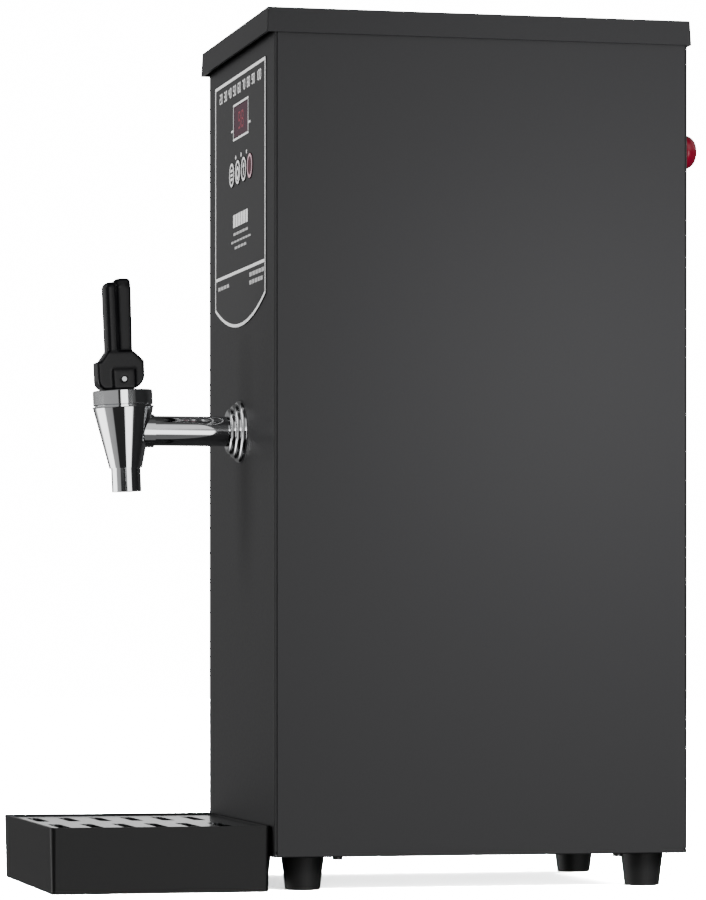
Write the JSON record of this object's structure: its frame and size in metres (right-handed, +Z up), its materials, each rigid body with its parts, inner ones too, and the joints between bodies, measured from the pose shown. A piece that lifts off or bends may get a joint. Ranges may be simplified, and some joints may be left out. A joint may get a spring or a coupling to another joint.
{
  "type": "hot water urn",
  "caption": "Counter-top hot water urn: tall sheet-steel casing with control panel, cone tap with a tilting lever handle, drip tray with slotted grille, and a water tank inside.",
  "frame": {"origin": "middle of the footprint at floor level: halfway across the casing, and halfway between the drip tray's front and the rear water inlet's end", "axes": "+Z up, -Y to the front where the tap and the drip tray are, +X to the right as seen by the user facing the tap"},
  "size_m": [0.2464, 0.4814, 0.625],
  "materials": {
    "charcoal_coat": "satin fine-texture powder coat",
    "grille_steel": "bright rolled stainless",
    "tap_chrome": "mirror",
    "lever_black": "glossy moulded",
    "tray_black": "satin moulded",
    "foot_rubber": "matte",
    "panel_film": "satin printed film",
    "lens_red": "clear dark red, glossy",
    "key_black": "satin",
    "key_red": "satin",
    "zinc_steel": "zinc plated",
    "black_zinc": "black zinc passivated",
    "stainless": "plain rolled",
    "silicone": "translucent matte",
    "brass_fitting": "turned",
    "board_green": "solder mask",
    "boot_red": "translucent glossy silicone",
    "technical_black": "satin moulded",
    "technical_white": "satin moulded",
    "insulation_foam": "felted mat"
  },
  "bodies": {
    "casing": {"base_pan": "stainless", "base_screws": "black_zinc", "board_standoffs": "zinc_steel", "cable_gland": "technical_black", "control_board": "board_green", "control_overlay": "panel_film", "display_lens": "lens_red", "display_module": "technical_white", "drain_cap": "brass_fitting", "drain_pipe": "stainless", "foot_nuts": "zinc_steel", "foot_screws": "zinc_steel", "front_panel": "charcoal_coat", "heater_relay": "technical_black", "heating_element": "stainless", "inlet_fitting": "brass_fitting", "inlet_hose": "silicone", "inlet_valve": "technical_white", "insulation_jacket": "insulation_foam", "left_side_panel": "charcoal_coat", "level_probes": "stainless", "lid_screws": "zinc_steel", "outlet_hose": "silicone", "rear_panel": "charcoal_coat", "right_side_panel": "charcoal_coat", "rubber_feet": "foot_rubber", "shank_nut": "zinc_steel", "shank_washer": "silicone", "switch_body": "technical_black", "switch_boot": "boot_red", "tact_switches": "technical_black", "tank_gasket": "silicone", "tank_lid": "stainless", "tank_lid_bolts": "zinc_steel", "tank_shell": "stainless", "tank_stand": "stainless", "tap_body": "tap_chrome", "tap_bonnet": "tap_chrome", "tap_escutcheon": "tap_chrome", "tap_nozzle": "tap_chrome", "tap_shank": "tap_chrome", "tap_spring": "stainless", "temperature_probe": "stainless", "terminal_block": "technical_white", "thermal_cutout": "technical_black", "top_lid": "charcoal_coat", "vent_hose": "silicone", "wiring_loom": "technical_black"},
    "tap_stem_set": {"tap_stem": "stainless", "seat_cup": "silicone"},
    "tap_lever": {"tap_handle": "lever_black", "handle_pin": "stainless"},
    "rocker": {"switch_rocker": "technical_black"},
    "power_button": {"power_key": "key_black"},
    "set_button": {"set_key": "key_black"},
    "raise_button": {"raise_key": "key_black"},
    "lower_button": {"lower_key": "key_red"},
    "tray": {"drip_tray": "tray_black"},
    "grille": {"drip_grille": "grille_steel"}
  },
  "joints": [
    {"name": "stem_lift", "type": "slide", "parent": "casing", "child": "tap_stem_set", "axis": [0, -0.0436, 0.999], "range_m": [0, 0.0051], "stiffness_N_per_m": 2000, "springref_m": -0.005, "deforming": ["tap_spring"]},
    {"name": "handle_tilt", "type": "hinge", "parent": "tap_stem_set", "child": "tap_lever", "pos_m": [0, -0.17041, 0.36796], "axis": [1, 0, 0], "range_deg": [0, 22.5]},
    {"name": "rocker_tilt", "type": "hinge", "parent": "casing", "child": "rocker", "pos_m": [0.097, 0.2213, 0.533], "axis": [1, 0, 0], "range_deg": [0, 18]},
    {"name": "power_press", "type": "slide", "parent": "casing", "child": "power_button", "axis": [0, 1, 0], "range_m": [0, 0.0006], "stiffness_N_per_m": 400, "springref_m": -0.002},
    {"name": "set_press", "type": "slide", "parent": "casing", "child": "set_button", "axis": [0, 1, 0], "range_m": [0, 0.0006], "stiffness_N_per_m": 400, "springref_m": -0.002},
    {"name": "raise_press", "type": "slide", "parent": "casing", "child": "raise_button", "axis": [0, 1, 0], "range_m": [0, 0.0006], "stiffness_N_per_m": 400, "springref_m": -0.002},
    {"name": "lower_press", "type": "slide", "parent": "casing", "child": "lower_button", "axis": [0, 1, 0], "range_m": [0, 0.0006], "stiffness_N_per_m": 400, "springref_m": -0.002},
    {"name": "tray_pull", "type": "slide", "parent": "casing", "child": "tray", "axis": [0, -1, 0], "range_m": [0, 0.17]},
    {"name": "grille_lift", "type": "slide", "parent": "tray", "child": "grille", "axis": [0, 0, 1], "range_m": [0, 0.08]}
  ],
  "couplings": [
    {"joint": "handle_tilt", "follows": "stem_lift", "rad_per_m": 75.2}
  ]
}
